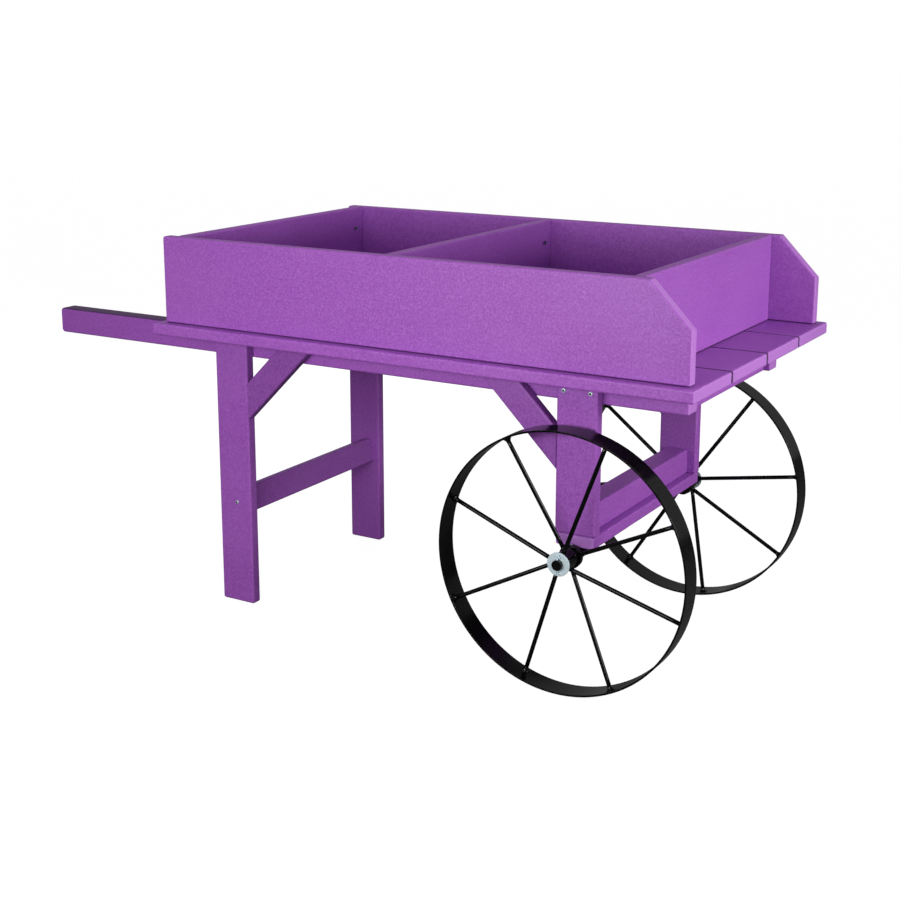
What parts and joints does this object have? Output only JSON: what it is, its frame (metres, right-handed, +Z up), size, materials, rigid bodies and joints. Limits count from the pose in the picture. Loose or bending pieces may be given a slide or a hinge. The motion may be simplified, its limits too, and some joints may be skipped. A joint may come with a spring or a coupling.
{
  "type": "push vending cart",
  "caption": "Open-topped push vending cart of thick plastic lumber: a divided display box on a plank deck, long handle rails, braced legs and tall spoked steel wheels on a through axle.",
  "frame": {"origin": "on the floor, under the middle of the overall length and width", "axes": "+X towards the front (the wheel end, away from the push handles), +Y towards the cart's left, +Z up"},
  "size_m": [2.534, 1.168, 1.278],
  "materials": {
    "purple_lumber": "solid coloured recycled plastic lumber, faintly grained and satin",
    "black_steel": "black powder coat, satin",
    "axle_steel": "black coated bar",
    "zinc_steel": "bright zinc plated",
    "stainless_steel": "stainless screws, satin",
    "bronze": "oiled bronze"
  },
  "bodies": {
    "cart": {"axle": "axle_steel", "axle_plate": "purple_lumber", "axle_seat_left": "black_steel", "axle_seat_right": "black_steel", "axle_strap_left": "black_steel", "axle_strap_right": "black_steel", "brace_screws": "stainless_steel", "collar_screws": "zinc_steel", "cotter_pin_left": "zinc_steel", "cotter_pin_right": "zinc_steel", "cross_member_1": "purple_lumber", "cross_member_2": "purple_lumber", "cross_member_3": "purple_lumber", "cross_member_4": "purple_lumber", "cross_member_screws": "stainless_steel", "deck_plank_1": "purple_lumber", "deck_plank_2": "purple_lumber", "deck_plank_3": "purple_lumber", "deck_plank_4": "purple_lumber", "deck_screws": "stainless_steel", "divider_board": "purple_lumber", "front_beam": "purple_lumber", "front_board": "purple_lumber", "front_brace_left": "purple_lumber", "front_brace_right": "purple_lumber", "front_leg_left": "purple_lumber", "front_leg_right": "purple_lumber", "inner_washer_left": "black_steel", "inner_washer_right": "black_steel", "leg_screws": "stainless_steel", "outer_washer_left": "zinc_steel", "outer_washer_right": "zinc_steel", "plate_screws": "stainless_steel", "pocket_screws": "stainless_steel", "rail_left": "purple_lumber", "rail_right": "purple_lumber", "rear_board": "purple_lumber", "rear_brace_left": "purple_lumber", "rear_brace_right": "purple_lumber", "rear_leg_left": "purple_lumber", "rear_leg_right": "purple_lumber", "rear_stretcher": "purple_lumber", "shaft_collar_left": "black_steel", "shaft_collar_right": "black_steel", "side_board_left": "purple_lumber", "side_board_right": "purple_lumber", "side_board_screws": "stainless_steel", "strap_screws": "zinc_steel", "stretcher_screws": "stainless_steel"},
    "left_wheel": {"rim_left": "black_steel", "spokes_left": "black_steel", "hub_left": "black_steel", "bushing_left": "bronze"},
    "right_wheel": {"rim_right": "black_steel", "spokes_right": "black_steel", "hub_right": "black_steel", "bushing_right": "bronze"}
  },
  "joints": [
    {"name": "left_wheel_spin", "type": "hinge", "parent": "cart", "child": "left_wheel", "pos_m": [0.838, 0.487, 0.405], "axis": [0, 1, 0], "continuous": true},
    {"name": "right_wheel_spin", "type": "hinge", "parent": "cart", "child": "right_wheel", "pos_m": [0.838, -0.487, 0.405], "axis": [0, 1, 0], "continuous": true}
  ]
}
